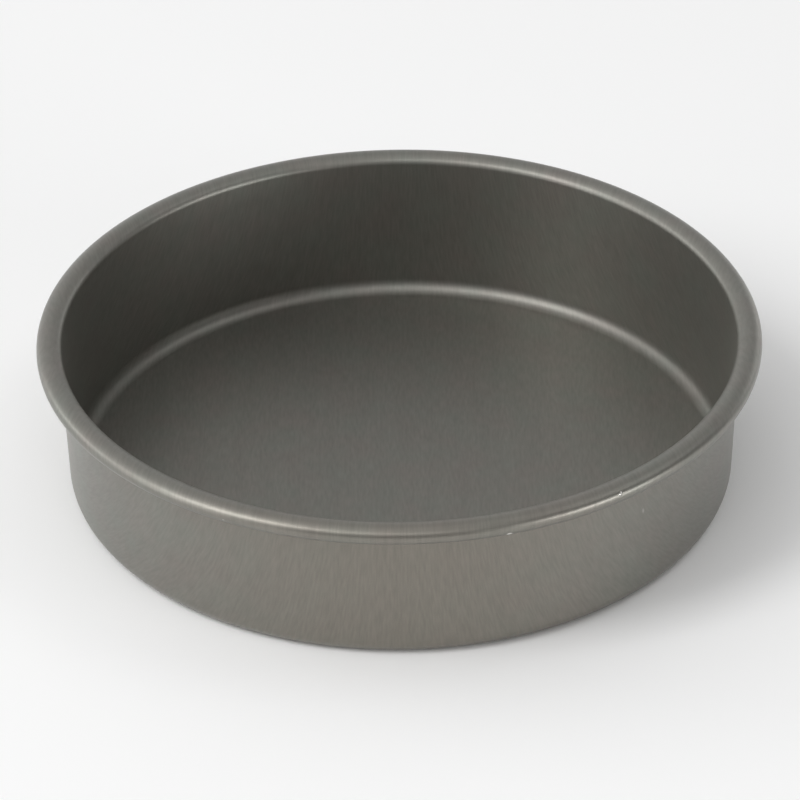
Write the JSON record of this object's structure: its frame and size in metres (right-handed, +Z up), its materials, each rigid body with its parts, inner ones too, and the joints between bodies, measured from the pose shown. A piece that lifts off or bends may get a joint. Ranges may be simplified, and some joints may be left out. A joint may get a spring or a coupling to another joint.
{
  "type": "round cake tin",
  "caption": "Round deep-drawn cake tin with a flat base, slightly flared wall, radiused inside corner and a rolled, wire-cored rim.",
  "frame": {"origin": "centre of the base's underside, where the tin stands on a shelf or table", "axes": "+Z up the tin's axis, out of its mouth; +X and +Y are any two square directions across it"},
  "size_m": [0.2216, 0.2216, 0.05],
  "materials": {
    "hard_anodised_sheet": "satin, hard anodised to a dark warm grey",
    "bare_wire": "drawn round wire"
  },
  "bodies": {
    "root": {"tin_body": "hard_anodised_sheet", "rim_wire": "bare_wire"}
  },
  "joints": []
}
